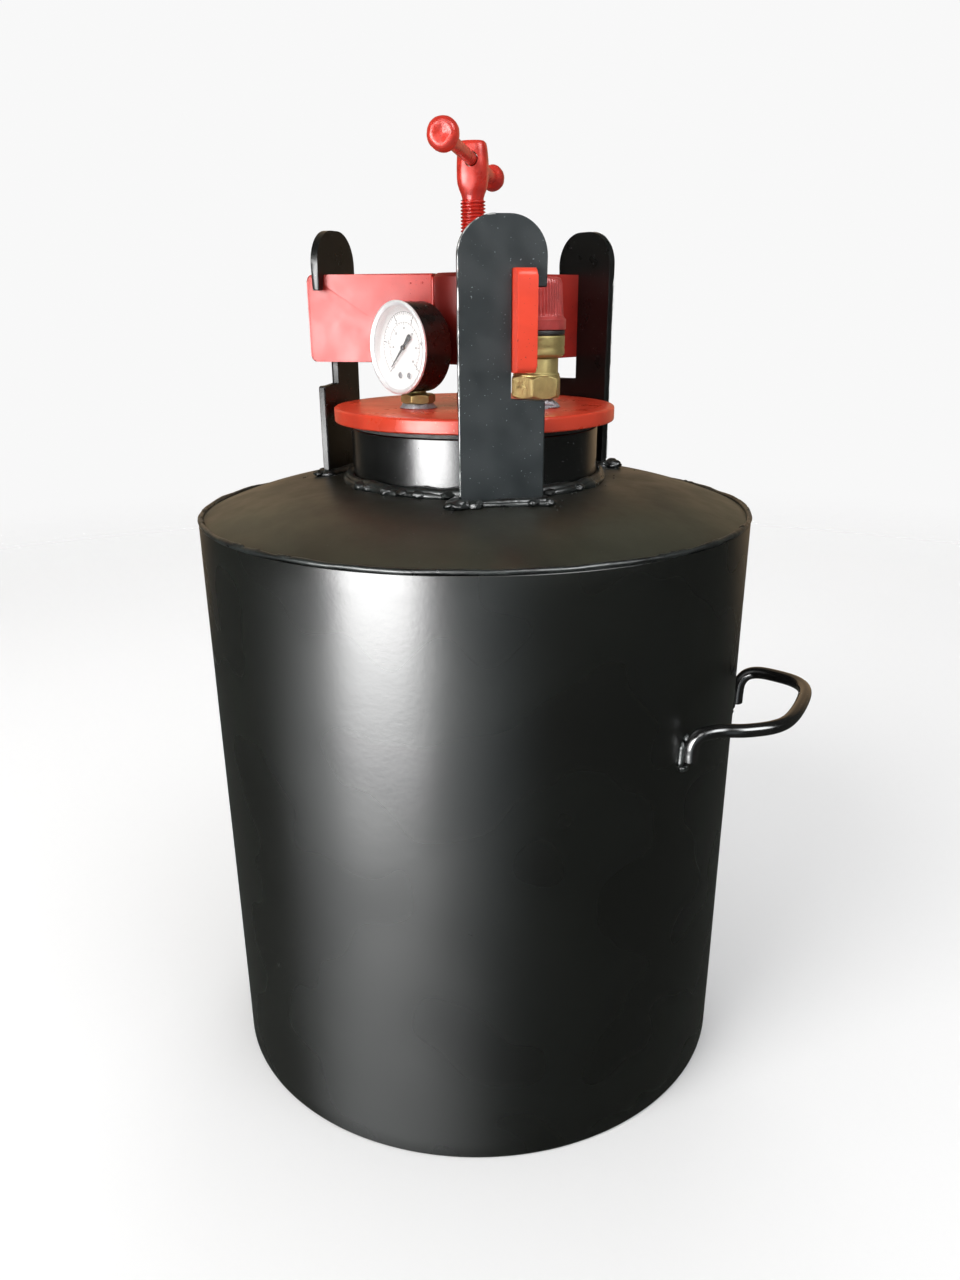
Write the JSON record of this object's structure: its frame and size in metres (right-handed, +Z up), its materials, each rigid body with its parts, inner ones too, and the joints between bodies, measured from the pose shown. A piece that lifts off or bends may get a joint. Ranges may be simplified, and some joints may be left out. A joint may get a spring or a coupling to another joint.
{
  "type": "pressure canner",
  "caption": "Screw-clamped steel pressure canner: round vessel with domed top and neck, flat lid held by a slotted-post yoke and centre screw, dial gauge and safety valve.",
  "frame": {"origin": "centre of the flat bottom, on the vessel's axis, where it stands on a surface", "axes": "+Z up along the vessel's axis, carry handles along +X and -X, the gauge and a hook post on the -Y side"},
  "size_m": [0.4786, 0.382, 0.6372],
  "materials": {
    "black_paint_body": "semi-gloss black enamel with a light orange peel",
    "black_paint_top": "satin black enamel",
    "black_paint_weld": "glossy black paint over weld beads",
    "black_paint_posts": "satin blue-black paint, worn edges",
    "black_paint_handles": "glossy black paint",
    "red_paint_lid": "semi-gloss red paint",
    "red_paint_yoke": "semi-gloss red paint",
    "red_paint_screw": "glossy red paint",
    "gasket_rubber": "grey silicone rubber",
    "bare_steel": "plain steel",
    "spring_steel": "drawn spring wire",
    "gauge_black": "satin black enamel",
    "gauge_ring": "bright ring",
    "gauge_glass": "clear window",
    "gauge_white": "white enamel dial with black marks",
    "pointer_black": "matt black",
    "brass": "machined brass, slightly tarnished",
    "sealing_paste": "grey sealing paste",
    "black_plastic": "matt black plastic",
    "red_plastic": "ribbed red plastic"
  },
  "bodies": {
    "vessel": {"body_shell": "black_paint_body", "bottom_plate": "black_paint_body", "top_dome": "black_paint_top", "neck_collar": "black_paint_top", "rim_weld": "black_paint_weld", "neck_weld": "black_paint_weld", "hook_post_1": "black_paint_posts", "hook_post_2": "black_paint_posts", "hook_post_3": "black_paint_posts", "post_weld_1": "black_paint_weld", "post_weld_2": "black_paint_weld", "post_weld_3": "black_paint_weld", "carry_handle_right": "black_paint_handles", "carry_handle_left": "black_paint_handles", "handle_weld_1": "black_paint_weld", "handle_weld_2": "black_paint_weld", "handle_weld_3": "black_paint_weld", "handle_weld_4": "black_paint_weld", "lid_plate": "red_paint_lid", "lid_gasket": "gasket_rubber", "gasket_ring": "bare_steel", "thrust_pad": "red_paint_yoke", "gauge_case": "gauge_black", "gauge_bezel": "gauge_ring", "gauge_lens": "gauge_glass", "gauge_dial": "gauge_white", "dial_screw_1": "bare_steel", "dial_screw_2": "bare_steel", "movement_plate": "brass", "bourdon_tube": "brass", "gauge_socket": "brass", "gauge_sealant": "sealing_paste", "valve_body": "brass", "valve_sealant": "sealing_paste", "valve_bonnet": "brass", "valve_ring": "black_plastic", "valve_spring": "spring_steel"},
    "yoke": {"yoke_hub": "red_paint_yoke", "yoke_arm_1": "red_paint_yoke", "yoke_arm_2": "red_paint_yoke", "yoke_arm_3": "red_paint_yoke"},
    "screw": {"clamp_screw": "red_paint_screw"},
    "tommy_bar": {"tommy_bar": "red_paint_screw"},
    "gauge_pointer": {"gauge_pointer": "pointer_black", "pointer_spindle": "brass"},
    "gauge_sector": {"sector_gear": "brass"},
    "valve_knob": {"valve_knob": "red_plastic"},
    "valve_lift": {"valve_stem": "bare_steel"}
  },
  "joints": [
    {"name": "screw_turn", "type": "hinge", "parent": "vessel", "child": "screw", "pos_m": [0, 0, 0.55], "axis": [0, 0, 1], "range_deg": [0, 2700]},
    {"name": "yoke_travel", "type": "slide", "parent": "vessel", "child": "yoke", "axis": [0, 0, -1], "range_m": [0, 0.0151]},
    {"name": "tommy_bar_slide", "type": "slide", "parent": "screw", "child": "tommy_bar", "axis": [0.3551, -0.9348, 0], "range_m": [-0.087, 0.077]},
    {"name": "gauge_sector_turn", "type": "hinge", "parent": "vessel", "child": "gauge_sector", "pos_m": [-0.02307, -0.04117, 0.505], "axis": [-0.3256, -0.9455, 0], "range_deg": [0, 46], "stiffness_Nm_per_rad": 0.01},
    {"name": "gauge_pointer_turn", "type": "hinge", "parent": "vessel", "child": "gauge_pointer", "pos_m": [-0.02551, -0.04826, 0.517], "axis": [0.3256, 0.9455, 0], "range_deg": [0, 270.1]},
    {"name": "valve_stem_lift", "type": "slide", "parent": "vessel", "child": "valve_lift", "axis": [0, 0, 1], "range_m": [0, 0.002], "stiffness_N_per_m": 2500, "springref_m": -0.003, "deforming": ["valve_spring"]},
    {"name": "valve_knob_turn", "type": "hinge", "parent": "valve_lift", "child": "valve_knob", "pos_m": [0.0462, 0.0004, 0.545], "axis": [0, 0, 1], "range_deg": [0, 45]}
  ],
  "couplings": [
    {"joint": "yoke_travel", "follows": "screw_turn", "m_per_rad": 0.00031831},
    {"joint": "gauge_pointer_turn", "follows": "gauge_sector_turn", "ratio": 5.8696}
  ]
}
